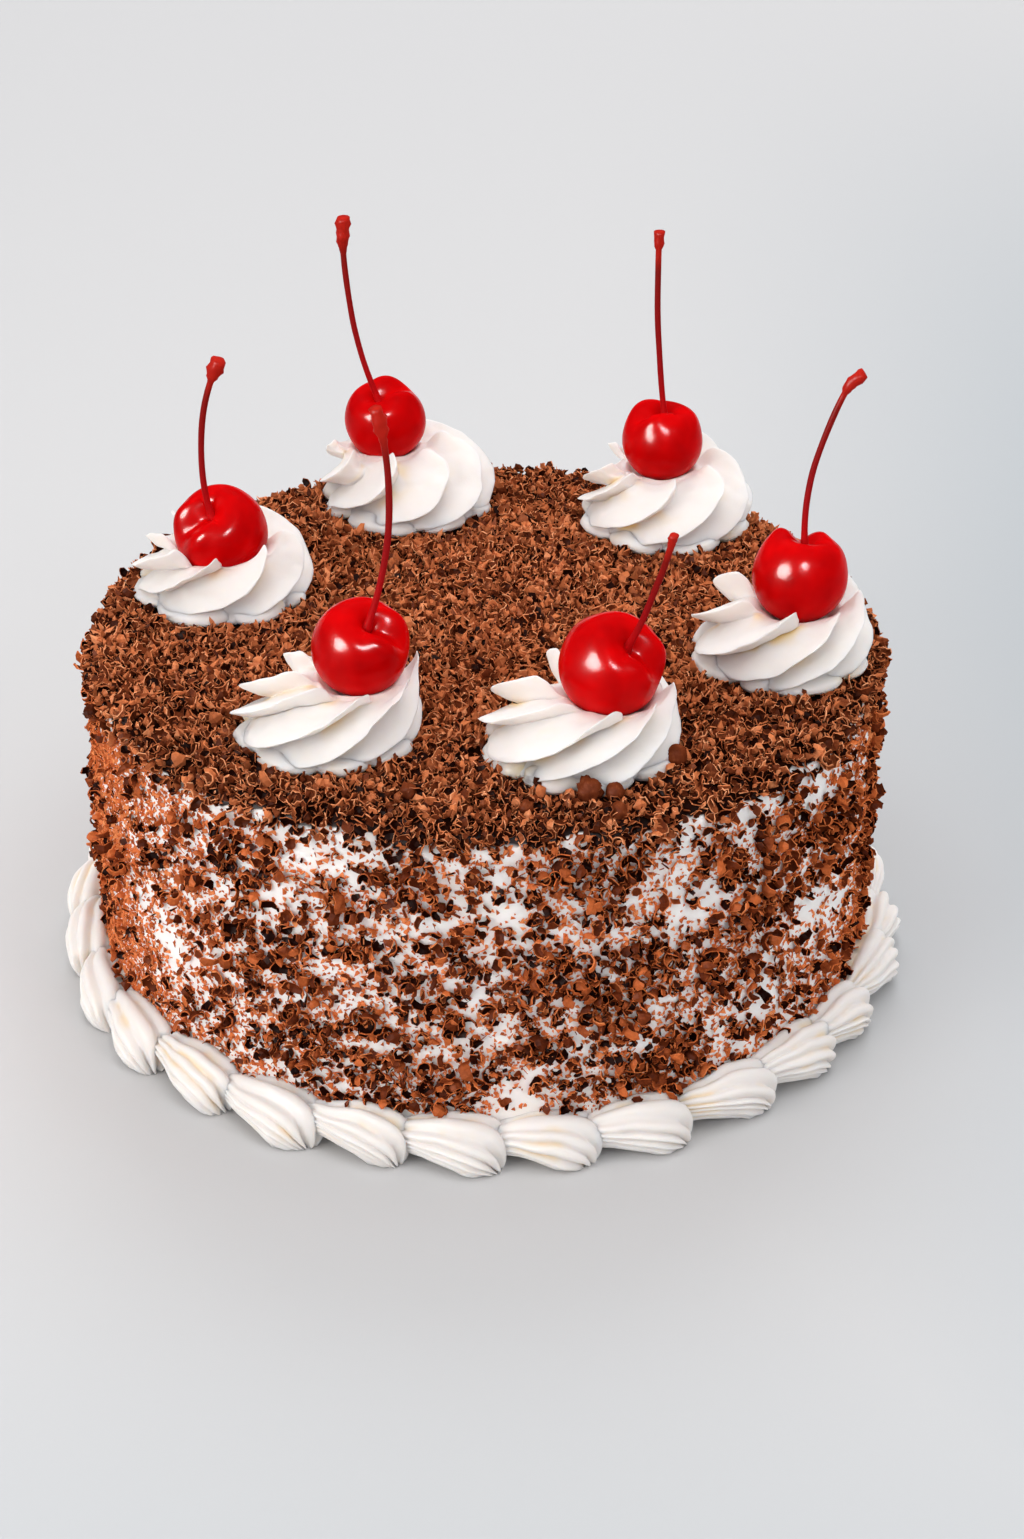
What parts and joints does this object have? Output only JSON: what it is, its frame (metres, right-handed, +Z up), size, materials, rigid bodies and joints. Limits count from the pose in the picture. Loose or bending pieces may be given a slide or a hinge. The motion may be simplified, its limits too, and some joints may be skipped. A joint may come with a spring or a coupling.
{
  "type": "black forest cake",
  "caption": "Round whipped-cream cake under chocolate shavings, with piped rosettes holding stemmed red cherries and a border of piped cream shells round its foot.",
  "frame": {"origin": "centre of the cake's flat base, on the surface that it stands on", "axes": "+Z up; -Y is the side that faces the viewer of the picture, +X to the viewer's right"},
  "size_m": [0.2227, 0.223, 0.1748],
  "materials": {
    "cake_cream_and_shavings": "whipped cream almost covered in dark milk-chocolate shavings; paper stands in for a soft food surface",
    "whipped_cream": "smooth satin off-white whipped cream; paper stands in for a soft food surface",
    "glazed_cherry": "wet glossy red cherry; gloss plastic stands in for fruit in syrup",
    "cherry_stem": "dark red-brown woody stalk, satin"
  },
  "bodies": {
    "root": {"cake": "cake_cream_and_shavings", "shell_01": "whipped_cream", "shell_02": "whipped_cream", "shell_03": "whipped_cream", "shell_04": "whipped_cream", "shell_05": "whipped_cream", "shell_06": "whipped_cream", "shell_07": "whipped_cream", "shell_08": "whipped_cream", "shell_09": "whipped_cream", "shell_10": "whipped_cream", "shell_11": "whipped_cream", "shell_12": "whipped_cream", "shell_13": "whipped_cream", "shell_14": "whipped_cream", "shell_15": "whipped_cream", "shell_16": "whipped_cream", "shell_17": "whipped_cream", "shell_18": "whipped_cream", "shell_19": "whipped_cream", "shell_20": "whipped_cream", "shell_21": "whipped_cream", "shell_22": "whipped_cream", "shell_23": "whipped_cream", "shell_24": "whipped_cream", "shell_25": "whipped_cream", "shell_26": "whipped_cream", "shell_27": "whipped_cream", "shell_28": "whipped_cream", "rosette_1": "whipped_cream", "rosette_2": "whipped_cream", "rosette_3": "whipped_cream", "rosette_4": "whipped_cream", "rosette_5": "whipped_cream", "rosette_6": "whipped_cream", "cherry_1": "glazed_cherry", "cherry_2": "glazed_cherry", "cherry_3": "glazed_cherry", "cherry_4": "glazed_cherry", "cherry_5": "glazed_cherry", "cherry_6": "glazed_cherry", "stem_1": "cherry_stem", "stem_2": "cherry_stem", "stem_3": "cherry_stem", "stem_4": "cherry_stem", "stem_5": "cherry_stem", "stem_6": "cherry_stem"}
  },
  "joints": []
}
